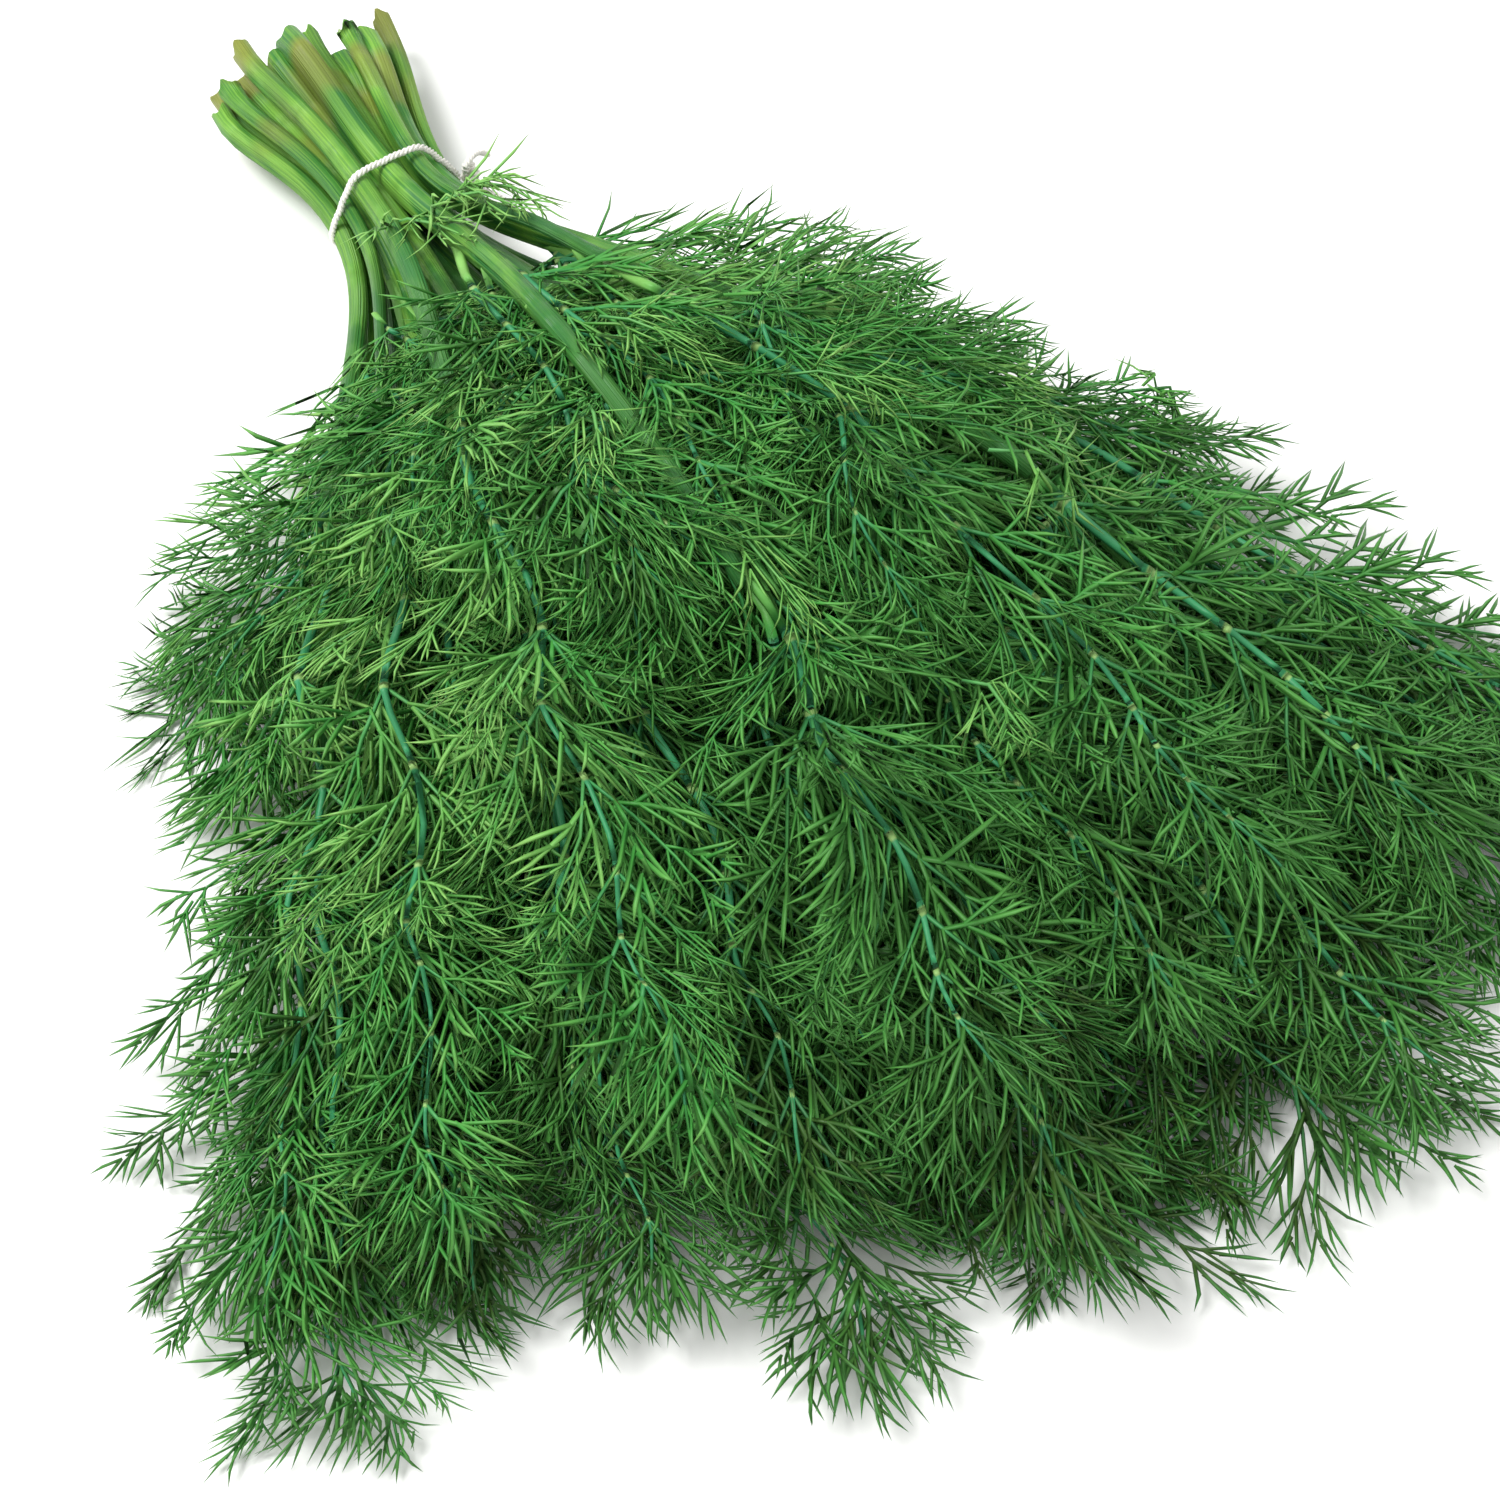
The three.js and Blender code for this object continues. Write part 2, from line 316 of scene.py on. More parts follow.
def stem_material(settings):
    """Rind of a fresh herb stem: waxy and smooth, with pale lines along it and deep green between
    them. Some cut ends are bruised olive brown."""
    material = new_material("dill_stem_rind")
    place = add_node(material, "UVMap", {"uv_map": MAP_NAME})
    # Lines 0.4 mm wide, about 40 of them round a stem, each about a third of the stem long.
    lines = add_node(material, "Mapping", (), {0: place, "Scale": (46, 3.2, 1)})
    streaks = add_node(material, "TexNoise", ON_MAP, {"Vector": lines, "Scale": 1.0})
    streak = add_node(material, "ValToRGB", (), {0: streaks})
    ramp_stops(streak, [(0.4, settings.deep), (0.5, settings.green), (0.58, settings.pale)])
    where = add_node(material, "TexCoord").outputs["Object"]
    # Cells 6 mm wide and 60 mm long give each stem a green of its own.
    cells = add_node(material, "Mapping", (), {0: where, "Scale": (170, 16, 170)})
    patches = add_node(material, "TexNoise", (), {"Vector": cells, "Scale": 1.0, "Detail": 1.0})
    fresh = add_node(material, "ValToRGB", (), {0: patches})
    ramp_stops(fresh, [(0.4, settings.deep), (0.49, settings.green), (0.58, settings.pale)])
    outside = add_node(material, "Mix", COLOURS, {0: 0.5, 6: streak, 7: fresh})
    # Upwards on the map the stem runs from its cut end into the heap, where painted shade darkens
    # it towards deep green.
    parts = add_node(material, "SeparateXYZ", (), {0: place})
    along = parts.outputs[1]
    inside = add_node(material, "MapRange", (), {0: along, 1: 0.35, 2: 0.7, 3: 0.0, 4: 0.8})
    rind = add_node(material, "Mix", COLOURS, {0: inside, 6: outside.outputs[2], 7: settings.deep})
    near_cut = add_node(material, "MapRange", (), {0: along, 1: 0.0, 2: 0.3, 3: 1.0, 4: 0.0})
    # Bruises about 17 mm across, so some ends have one and others don't.
    bruised = add_node(material, "TexNoise", (), {"Vector": where, "Scale": 60.0, "Detail": 0.0})
    olive = add_node(material, "MapRange", (), {0: bruised, 1: 0.5, 2: 0.62, 3: 0.0, 4: 0.85})
    amount = add_node(material, "Math", {"operation": "MULTIPLY"}, {0: near_cut, 1: olive})
    base = add_node(material, "Mix", COLOURS, {0: amount, 6: rind.outputs[2], 7: settings.bruise})
    gloss = add_node(material, "MapRange", (), {0: streaks, 3: 0.3, 4: 0.66})
    inputs = {"Base Color": base.outputs[2], "Roughness": gloss, "Specular IOR Level": 0.4}
    return surface(material, inputs, streaks, 0.45)


def pith_material(settings):
    """Pith of a cut stem: wet, pale and spongy, so rough with a soft grain of about 1 mm."""
    material = new_material("stem_pith")
    where = add_node(material, "TexCoord")
    grain = add_node(material, "TexNoise", (), {"Vector": where.outputs["Object"], "Scale": 900.0})
    base = add_node(material, "Mix", COLOURS, {0: grain, 6: settings.pith, 7: settings.green})
    return surface(material, {"Base Color": base.outputs[2], "Roughness": 0.7}, grain, 0.3)


def cotton_material(settings):
    """Raw cotton kitchen string: matt fibres, bright on the strands, with grey painted shade in the
    hollows.
    """
    material = new_material("raw_cotton_string")
    place = add_node(material, "UVMap", {"uv_map": MAP_NAME})
    # Fibres 0.1 mm wide, in patches 0.4 mm long. The real ones are too fine to show.
    fibres = add_node(material, "Mapping", (), {0: place, "Scale": (14, 240, 1)})
    grain = add_node(material, "TexNoise", ON_MAP, {"Vector": fibres, "Scale": 1.0})
    # Painted shade: the grain mixes the cotton with the grey of the hollows.
    shade = add_node(material, "MapRange", (), {0: grain, 1: 0.45, 2: 0.9})
    base = add_node(material, "Mix", COLOURS, {0: shade, 6: settings.cotton, 7: settings.hollow})
    inputs = {"Base Color": base.outputs[2], "Roughness": 0.9, "Sheen Weight": 0.3}
    return surface(material, inputs, grain, 0.08)


# --- lines through the frame's plain solids ---


def vertex_points(mesh):
    """Places of a mesh's vertices."""
    points = np.empty(len(mesh.vertices) * 3)
    mesh.vertices.foreach_get("co", points)
    return points.reshape(-1, 3)


def solid_points(node):
    """Places of a frame solid's corners, each once."""
    return np.unique(vertex_points(bpy.data.objects[node].data).round(6), axis=0)


def fitted(points, along, degree):
    """A smooth line through the middle of a solid, as a function of along."""
    parts = [np.polynomial.Polynomial.fit(along, points[:, axis], degree) for axis in range(3)]
    return lambda value: np.stack([part(value) for part in parts], -1)


def unit(vectors):
    """Vectors of length one."""
    return vectors / np.linalg.norm(vectors, axis=-1, keepdims=True)


class Path:
    """A line through space with a sideways and an upward direction, which a flat shape follows:
    its x goes sideways, its y goes along and its z goes up."""

    def __init__(self, points, normal=(0, 0, 1)):
        steps = np.linalg.norm(np.diff(points, axis=0), axis=1)
        self.along = np.concatenate([[0], np.cumsum(steps)])
        self.length = self.along[-1]
        self.points = points
        self.forward = unit(np.gradient(points, self.along, axis=0))
        self.side = unit(np.cross(self.forward, normal))
        self.up = np.cross(self.side, self.forward)

    def at(self, values, along):
        """The path's points or directions at these distances along it."""
        return np.stack([np.interp(along, self.along, values[:, axis]) for axis in range(3)], -1)

    def spot(self, along):
        """The path's point and direction at one distance along it."""
        along = np.array([along])
        return self.at(self.points, along)[0], self.at(self.forward, along)[0]

    def place(self, flat):
        """World places of flat points, all in metres. Past an end the line goes on straight."""
        along = flat[:, 1]
        over = along - np.clip(along, 0, self.length)
        place = self.at(self.points, along) + self.at(self.forward, along) * over[:, None]
        place += self.at(self.side, along) * flat[:, :1]
        return place + self.at(self.up, along) * flat[:, 2:]


def stem_line(node):
    """The stem's middle line as a function of y, and the y of its cut end and of its far end."""
    points = solid_points(node)
    return fitted(points, points[:, 1], 6), points[:, 1].max(), points[:, 1].min()


def stem_path(node):
    """The path from a stem's cut end to its far end."""
    line, cut, end = stem_line(node)
    return Path(line(np.linspace(cut, end, 70)))


def stem_width(node):
    """Width of a stem at its cut end and at its far end."""
    points = solid_points(node)
    line, cut, end = stem_line(node)
    away = np.linalg.norm((points - line(points[:, 1]))[:, [0, 2]], axis=1)
    near_cut = points[:, 1] > cut - 4 * MM
    near_end = points[:, 1] < end + 4 * MM
    return away[near_cut].max() * 2, away[near_end].max() * 2


def hermite(start, start_pull, end, end_pull, steps):
    """A smooth curve between two points, with a direction at each."""
    t = np.linspace(0, 1, steps)[:, None]
    return (
        (2 * t**3 - 3 * t**2 + 1) * start
        + (t**3 - 2 * t**2 + t) * start_pull
        + (3 * t**2 - 2 * t**3) * end
        + (t**3 - t**2) * end_pull
    )


def leaf_path(node):
    """The line that a leaf follows, from inside its stem to its tip, the length of its bare stalk
    and half its width."""
    points = solid_points(node)
    reach = np.hypot(points[:, 0] - TIE[0], points[:, 1] - TIE[1])
    line = fitted(points, reach, 3)
    low, high = reach.min(), reach.max()
    slope = np.linalg.lstsq(
        np.c_[points[:, :2], np.ones(len(points))], points[:, 2], rcond=None
    )[0]
    normal = unit(np.array([-slope[0], -slope[1], 1.0]))
    stem, cut, end = stem_line("stem_" + node[5:7])
    side_leaf = node in SIDE_LEAVES
    neck = low + (0.16 if side_leaf else 0.1) * (high - low)
    if side_leaf:
        reaches = np.linspace(cut, end, 60)
        on_stem = stem(reaches)
        away = np.hypot(on_stem[:, 0] - TIE[0], on_stem[:, 1] - TIE[1])
        away *= np.sign(TIE[1] - on_stem[:, 1])
        root_y = float(np.interp(min(low - 9 * MM, 0.62 * low), away, reaches))
    else:
        root_y = end + 3 * MM
    root = stem(root_y)
    root_pull = unit(stem(root_y - 1 * MM) - root)
    neck_point = line(neck)
    neck_pull = unit(line(neck + 1 * MM) - neck_point)
    span = np.linalg.norm(neck_point - root)
    start = hermite(root, root_pull * span, neck_point, neck_pull * span, 9)
    rest = line(np.linspace(neck, high, 40))[1:]
    path = Path(np.concatenate([start, rest]), normal)
    off = points - line(reach)
    side = unit(np.cross(line(reach + 1 * MM) - line(reach), normal))
    half_width = np.abs((off * side).sum(1)).max()
    return path, path.along[8], half_width


# --- growing a leaf from threads ---


class Part:
    """A finished mesh, with the map of each of its faces' corners."""

    def __init__(self, mesh, places):
        self.mesh = mesh
        self.places = places


class Spray:
    """A mesh that grows by stamping finished parts into it."""

    def __init__(self):
        self.mesh = bmesh.new()
        self.places = []

    def stamp(self, part, matrix=Matrix.Identity(4), tint=0.0):
        start = len(self.mesh.verts)
        self.mesh.from_mesh(part.mesh)
        self.mesh.verts.ensure_lookup_table()
        bmesh.ops.transform(self.mesh, matrix=matrix, verts=self.mesh.verts[start:])
        self.places.append(part.places + np.array([tint, 0.0]))

    def finish(self, name):
        mesh = bpy.data.meshes.new(name)
        self.mesh.to_mesh(mesh)
        self.mesh.free()
        return Part(mesh, np.concatenate(self.places))


def closed_mesh(bm, name):
    """Turns a bmesh of closed shapes into a mesh whose faces point outwards."""
    bmesh.ops.recalc_face_normals(bm, faces=bm.faces)
    mesh = bpy.data.meshes.new(name)
    bm.to_mesh(mesh)
    bm.free()
    return mesh


def rod(bm, sections, sides):
    """A closed rod along y, through sections of (y, radius)."""
    start, radius = sections[0]
    turn = Matrix.Rotation(math.radians(90), 4, "X")
    ring = bmesh.ops.create_circle(bm, cap_ends=True, segments=sides, radius=1.0, matrix=turn)
    bmesh.ops.scale(bm, vec=(radius, 1, radius), verts=ring["verts"])
    bmesh.ops.translate(bm, vec=(0, start, 0), verts=ring["verts"])
    face = ring["verts"][0].link_faces[0]
    for along, wide in sections[1:]:
        grown = bmesh.ops.extrude_face_region(bm, geom=[face])["geom"]
        verts = [item for item in grown if isinstance(item, bmesh.types.BMVert)]
        face = next(item for item in grown if isinstance(item, bmesh.types.BMFace))
        bmesh.ops.translate(bm, vec=(0, along - start, 0), verts=verts)
        ratio = wide / radius
        bmesh.ops.scale(bm, vec=(ratio, 1, ratio), verts=verts)
        start, radius = along, wide


def corner_vertices(mesh):
    """The vertex of every face corner."""
    index = np.empty(len(mesh.loops), int)
    mesh.loops.foreach_get("vertex_index", index)
    return index


def corner_places(mesh):
    """The place of every face corner."""
    return vertex_points(mesh)[corner_vertices(mesh)]


def thread(length, width, profile, low, high, sweep):
    """One leaf thread from the origin along y: a flat blade that narrows to a point and sweeps a
    little to one side. The profile gives (share of length, share of width) pairs, and low and
    high are where its root and tip lie on the map."""
    bm = bmesh.new()
    sections = [(share * length, max(wide * width / 2, 0.01 * MM)) for share, wide in profile]
    rod(bm, sections, 3)
    bmesh.ops.remove_doubles(bm, verts=bm.verts, dist=0.02 * MM)
    for vert in bm.verts:
        share = vert.co.y / length
        vert.co.z *= THREAD_FLATNESS
        bow = sweep * length * share * share
        vert.co.x += bow
        vert.co.z -= 0.5 * bow
    mesh = closed_mesh(bm, "thread")
    places = corner_places(mesh)
    across = places[:, 0] / width * MAP_STRIP
    return Part(mesh, np.c_[across, low + (high - low) * places[:, 1] / length])


# The shapes of a thread, of a short one and of a branch's stalk: (share of length, share of width).
BLADE = [(0, 0.8), (0.3, 1.0), (0.66, 0.88), (1, 0)]
SHORT_BLADE = [(0, 1.0), (0.6, 0.95), (1, 0)]
BRANCH = [(0, 1.15), (0.35, 0.95), (0.7, 0.8), (1, 0.5)]
THREAD_FLATNESS = 0.7


def turned(place, swing, lift=0.0, roll=0.0, size=1.0):
    """A place for a part that points along y: swing turns it sideways, lift tips it up and roll
    turns it about itself."""
    turn = Matrix.Rotation(swing, 4, "Z") @ Matrix.Rotation(lift, 4, "X")
    turn = turn @ Matrix.Rotation(roll, 4, "Y")
    return Matrix.Translation(place) @ turn @ Matrix.Scale(size, 4)


def degrees(rng, most, least=None):
    """A random angle between least and most degrees, or as far to either side."""
    return math.radians(rng.uniform(-most if least is None else least, most))


def tuft(settings, rng, forks, fineness, sweep):
    """The smallest group of threads: a middle thread that forks a few times on each side."""
    long = settings.thread_length
    wide = settings.thread_width * fineness

    def bend():
        return sweep * rng.choice((-1, 1)) * rng.uniform(0.5, 2.0)

    spray = Spray()
    spray.stamp(thread(long, wide * 1.15, BLADE, ROOT_SHARE, 1.0, bend()))
    for fork in range(forks):
        for side in (-1, 1):
            if fork and rng.random() < 0.15:
                continue
            start = long * (0.2 + 0.2 * fork + rng.uniform(-0.06, 0.06))
            tine = long * (0.7 - 0.13 * fork) * rng.uniform(0.8, 1.15)
            swing = side * math.radians(26 - 3 * fork + rng.uniform(-6, 6))
            lift = degrees(rng, 14)
            blade = thread(tine, wide * 0.95, SHORT_BLADE, ROOT_SHARE, 1.0, bend())
            spray.stamp(blade, turned((0, start, 0), swing, lift), rng.uniform(-0.06, 0.06))
    return spray.finish("tuft")


def bent(part, sideways, down):
    """Bends a part that points along y, in place."""
    points = vertex_points(part.mesh)
    length = points[:, 1].max()
    share = np.clip(points[:, 1] / length, 0, 1) ** 2
    points[:, 0] += sideways * length * share
    points[:, 2] -= down * length * share
    part.mesh.vertices.foreach_set("co", points.ravel())
    return part


def side_branch(settings, tufts, small_tufts, rng, length):
    """A side branch of a leaf: a fine stalk with pairs of tufts and a tuft at its end."""
    spray = Spray()
    long, wide = length * 0.86, settings.thread_width * 0.9
    spray.stamp(thread(long, wide, BRANCH, BRANCH_SHARE, ROOT_SHARE, 0))
    pairs = max(2, round(length * 0.8 / settings.tuft_spacing))
    for pair in range(pairs):
        share = (pair + 0.6) / (pairs + 0.4)
        choice = tufts if length > 20 * MM else small_tufts
        for side in (-1, 1):
            swing = side * math.radians(33 - 11 * share + rng.uniform(-9, 9))
            lift = degrees(rng, 15)
            roll = degrees(rng, 30)
            size = (1.04 - 0.42 * share) * rng.uniform(0.75, 1.15)
            if pair == 0:
                size *= 1.12
            place = (0, long * (share * 0.93 + rng.uniform(-0.02, 0.02)), 0)
            tint = rng.uniform(-0.05, 0.05)
            spray.stamp(rng.choice(choice), turned(place, swing, lift, roll, size), tint)
    last = rng.choice(tufts)
    spray.stamp(last, turned((0, length * 0.72, 0), 0, 0, rng.uniform(-1, 1), 0.72))
    part = spray.finish("side_branch")
    return bent(part, rng.uniform(-0.07, 0.07), rng.uniform(0.02, 0.09))


class Garden:
    """The stock of tufts and side branches that every leaf is grown from."""

    LENGTHS = (56 * MM, 42 * MM, 30 * MM, 18 * MM)

    def __init__(self, settings, fineness, sweep):
        rng = random.Random(4)
        self.settings = settings
        self.fineness = fineness
        tufts = [tuft(settings, rng, 2 + pick % 2, fineness, sweep) for pick in range(6)]
        small_tufts = [tuft(settings, rng, 1, fineness, sweep) for pick in range(3)]
        stock = (settings, tufts, small_tufts, rng)
        self.branches = {
            length: [side_branch(*stock, length) for pick in range(4)] for length in self.LENGTHS
        }

    def branch(self, rng, length):
        """A side branch of about this length, and the scale that makes it so."""
        nearest = min(self.LENGTHS, key=lambda one: abs(math.log(one / length)))
        return rng.choice(self.branches[nearest]), min(length / nearest, 1.12)


def leaf_stalk(spray, nodes, length, width):
    """The leaf's own stalk, with a pale swelling at each node."""

    def thick(along):
        return width / 2 * (1 - 0.78 * (along / length) ** 0.9)

    bm = bmesh.new()
    end = length * 0.97
    sections = [(along * MM, thick(along * MM)) for along in range(0, int(end / MM), 7)]
    sections = [one for one in sections if min(abs(one[0] - node) for node in nodes) > 2.5 * MM]
    for node in nodes:
        for off, swell in ((-1.6, 1.0), (-0.5, 1.3), (0.5, 1.25), (1.6, 0.95)):
            sections.append((node + off * MM, thick(node) * swell))
    sections.append((end, thick(end)))
    rod(bm, sorted(sections), 6)
    mesh = closed_mesh(bm, "leaf_stalk")
    places = corner_places(mesh)
    near = np.abs(places[:, 1:2] - np.array(nodes)[None]).min(1)
    up = np.where(near < 0.9 * MM, NODE_SHARE, STALK_SHARE)
    up = np.where(places[:, 1] < nodes[0] - 6 * MM, BARE_SHARE, up)
    across = 0.5 + np.arctan2(places[:, 2], places[:, 0]) / math.pi * MAP_STRIP
    spray.stamp(Part(mesh, np.c_[across, up + 0.004 * places[:, 1] / length]))


def grow_leaf(garden, rng, length, bare, half_width, tint):
    """A whole flat leaf along y: its stalk, with pairs of side branches that get shorter and point
    further forward towards the tip."""
    settings = garden.settings
    nodes = []
    along, step = bare, min(settings.node_spacing, (length - bare) * 0.19)
    while along < length - 9 * MM:
        nodes.append(along)
        along += step * rng.uniform(0.9, 1.1)
        step = max(step * 0.89, 10.5 * MM)
    spray = Spray()
    leaf_stalk(spray, nodes, length, settings.stalk_width * garden.fineness)
    for node in nodes:
        share = (node - bare) / (length - bare)
        spread = 46 - 20 * share
        reach = half_width * (0.72 + 0.28 * min(1, share / 0.2)) * (1 - share) ** 0.65
        for side in (-1, 1):
            swing = math.radians(spread + rng.uniform(-7, 7))
            wanted = max(reach / math.sin(swing) * rng.uniform(0.88, 1.1), 11 * MM)
            part, size = garden.branch(rng, wanted)
            lift, roll = degrees(rng, 12, -10), degrees(rng, 25)
            matrix = turned((0, node, 0), side * swing, lift, roll, size)
            spray.stamp(part, matrix, tint + rng.uniform(-0.12, 0.12))
            # A shorter branch grows above or below it from the same node.
            if share > 0.6 or rng.random() < 0.3:
                continue
            part, size = garden.branch(rng, max(wanted * rng.uniform(0.4, 0.62), 10 * MM))
            swing = side * swing * rng.uniform(0.3, 0.75)
            lift = rng.choice((-1, 1)) * degrees(rng, 28, 10)
            matrix = turned((0, node, 0), swing, lift, degrees(rng, 40), size)
            spray.stamp(part, matrix, tint + rng.uniform(-0.12, 0.12))
    part, size = garden.branch(rng, 20 * MM)
    spray.stamp(part, turned((0, length - 16 * MM, 0), 0, size=size), tint)
    return spray.finish("leaf")


def ruffled(points):
    """Soft waves through space, so that no leaf lies dead flat."""
    waves = np.zeros_like(points)
    for axis, (lengths, phase) in enumerate(WAVES):
        total = sum(
            points[:, (axis + after) % 3] * (2 * math.pi / (length * MM))
            for after, length in enumerate(lengths)
        )
        waves[:, axis] = np.sin(total + phase)
    return points + waves * np.array(WAVE_HEIGHTS) * MM


def leaned(points):
    """The fan reaches further on its right than on its left, and more so towards the tips."""
    away = points[:, :2] - TIE[:2]
    reach = np.hypot(away[:, 0], away[:, 1]) / FULL_REACH
    turn = np.degrees(np.arctan2(away[:, 0], -away[:, 1]))
    share = np.interp(turn, LEAN_ANGLES, LEAN_SHARES) * reach**2
    points[:, :2] = TIE[:2] + away * (1 + share)[:, None]
    return points


def settled(points, gap):
    """Eases what lies too low onto the table, and what stands too high down onto the heap."""
    height = points[:, 2]
    lowest = height.min()
    low, high = height < SOFT_HEIGHT, height > CROWN
    under = (height[low] - SOFT_HEIGHT) / SOFT_HEIGHT
    # A tenth of the slope is kept, so that what lies on the table isn't dead flat.
    slope = 0.1 * (height[low] - lowest) / (SOFT_HEIGHT - lowest)
    height[low] = gap + (SOFT_HEIGHT - gap) * (0.9 * np.exp(under) + slope)
    height[high] = CROWN + SPRING * (1 - np.exp(-(height[high] - CROWN) / SPRING))
    return points


def new_object(name, data):
    """Makes an object and links it to the scene."""
    made = bpy.data.objects.new(name, data)
    bpy.context.scene.collection.objects.link(made)
    return made


def finish_piece(name, mesh, points, places, materials, nodes):
    """Gives a mesh its points, map and materials, makes it a piece that rides on the body, and
    hides the frame parts that it stands for."""
    mesh.vertices.foreach_set("co", points.ravel())
    layer = mesh.uv_layers.new(name=MAP_NAME, do_init=False)
    layer.uv.foreach_set("vector", np.clip(places, 0.001, 0.999).astype(np.float32).ravel())
    mesh.uv_layers.active = layer
    mesh.update()
    for material in materials:
        mesh.materials.append(material)
    mesh.polygons.foreach_set("use_smooth", [True] * len(mesh.polygons))
    piece = new_object(name, mesh)
    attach(piece, BODY)
    if nodes:
        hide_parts(*nodes)


def unrolled(mesh, around, along):
    """The map of a rod: the angle of its vertices round it across, and their place along it
    upwards. Each face stays on one side of the seam."""
    index = corner_vertices(mesh)
    rolled = around[index] / (2 * math.pi) + 0.5
    first = np.empty(len(mesh.polygons), int)
    mesh.polygons.foreach_get("loop_start", first)
    face = np.zeros(len(rolled), int)
    face[first[1:]] = 1
    face = np.cumsum(face)
    high = np.maximum.reduceat(rolled, first)[face]
    rolled = np.where(high - rolled > 0.5, rolled + 1, rolled)
    return np.c_[0.02 + rolled * 0.8, 0.02 + along[index] * 0.96]


def lay_rod(node, mesh, flat, around, path, materials):
    """Bends a straight rod along its path, clear of the table, and makes it the piece of a node."""
    points = path.place(flat)
    points[:, 2] = np.maximum(points[:, 2], TABLE)
    places = unrolled(mesh, around, flat[:, 1] / path.length)
    finish_piece("dill_" + node, mesh, points, places, materials, [node])


def lay_leaf(name, garden, material, rng, path, bare, half_width, tint, nodes=()):
    """Grows a leaf and lays it along its path."""
    part = grow_leaf(garden, rng, path.length, bare, half_width, tint)
    lay_part(name, garden, material, rng, path, part, nodes)


def lay_part(name, garden, material, rng, path, part, nodes=()):
    """Bends a flat part along a path and makes it a piece."""
    mesh = part.mesh
    flat = vertex_points(mesh)
    share = flat[:, 1] / path.length
    flat[:, 0] += rng.uniform(-7, 7) * MM * np.clip(share, 0, 1) ** 2
    # A leaf that lies low has the table under it, so it droops and tips less.
    free = min(1, path.points[:, 2].mean() / (26 * MM))
    flat[:, 2] -= free * (0.035 * np.abs(flat[:, 0]) + 3.2 * flat[:, 0] ** 2)
    tip = free * math.radians(rng.uniform(-10, 10)) * np.clip(share * 3, 0, 1)
    x, z = flat[:, 0].copy(), flat[:, 2].copy()
    flat[:, 0] = x * np.cos(tip) - z * np.sin(tip)
    flat[:, 2] = x * np.sin(tip) + z * np.cos(tip)
    points = settled(leaned(ruffled(path.place(flat))), garden.settings.table_gap)
    # Leaves are lighter close to the string. Painted shade makes them darker low in the heap.
    corners = points[corner_vertices(mesh)]
    away = np.linalg.norm(corners - TIE, axis=1)
    part.places[:, 0] += np.clip(0.5 - away * 2.2, 0, 0.5)
    # Painted shade: below 40 mm a thread's tint falls towards shaded green, and every tint is
    # lifted by 0.06 to make up for it.
    part.places[:, 0] += np.clip(corners[:, 2] / (40 * MM) - 1, -1, 0) * 0.3 + 0.06
    finish_piece(name, mesh, points, part.places, [material], nodes)


GARDEN = {}


def garden_of(scene, kind="full"):
    """A garden and the leaf's material, grown once, by the first operator that needs them."""
    if not GARDEN:
        GARDEN["leaf"] = leaf_material(scene.dill_leaf)
        GARDEN["full"] = Garden(scene.dill_leaf, 1.0, 0.1)
        GARDEN["young"] = Garden(scene.dill_leaf, 0.72, 0.13)
    return GARDEN[kind], GARDEN["leaf"]


def grow_leaves(scene, nodes, seed):
    """Grows the leaf of each of these nodes."""
    garden, material = garden_of(scene)
    for number, node in enumerate(nodes):
        rng = random.Random(seed + number)
        path, bare, half_width = leaf_path(node)
        wide = max(half_width * 1.55, 27 * MM)
        turn = path.points[20, 0] / (TIE[1] - path.points[20, 1])
        # Leaves are lighter towards the sides of the fan, and more so on the left.
        tint = 0.06 + (0.62 if turn < 0 else 0.42) * min(1, abs(turn) * 2.4)
        tint += rng.uniform(-0.16, 0.2)
        lay_leaf("dill_" + node, garden, material, rng, path, bare, wide, tint, [node])


def heap_height(plan, points):
    """Height of the top of the heap at each plan place: the highest of the nearby points."""
    away = np.hypot(points[None, :, 0] - plan[:, :1], points[None, :, 1] - plan[:, 1:])
    return np.where(away < 11 * MM, points[None, :, 2], 0).max(1)


def eased(values, window=7):
    """Values averaged over a window of an odd number of places."""
    padded = np.pad(values, window // 2, mode="edge")
    return np.convolve(padded, np.ones(window) / window, mode="valid")


def heap_path(root, forward, swing, length, points, heap_share, rng):
    """A path that leaves a stem sideways and lies at a share of the heap's height."""
    start = math.atan2(forward[1], forward[0])
    share = np.linspace(0, 1, 31)
    heading = start + swing * (0.35 + 0.65 * np.minimum(share * 3, 1)) - 0.4 * swing * share**2
    step = length / 30
    plan = root[:2] + np.c_[np.cumsum(np.cos(heading)), np.cumsum(np.sin(heading))] * step
    height = eased(heap_height(plan, points)) * heap_share - rng.uniform(1, 5) * MM
    rise = np.clip(share * 4, 0, 1)
    height = root[2] + (height - root[2]) * rise * rise * (3 - 2 * rise)
    plan[0] = root[:2]
    return Path(np.c_[plan, eased(height, 5)])


# --- operators ---


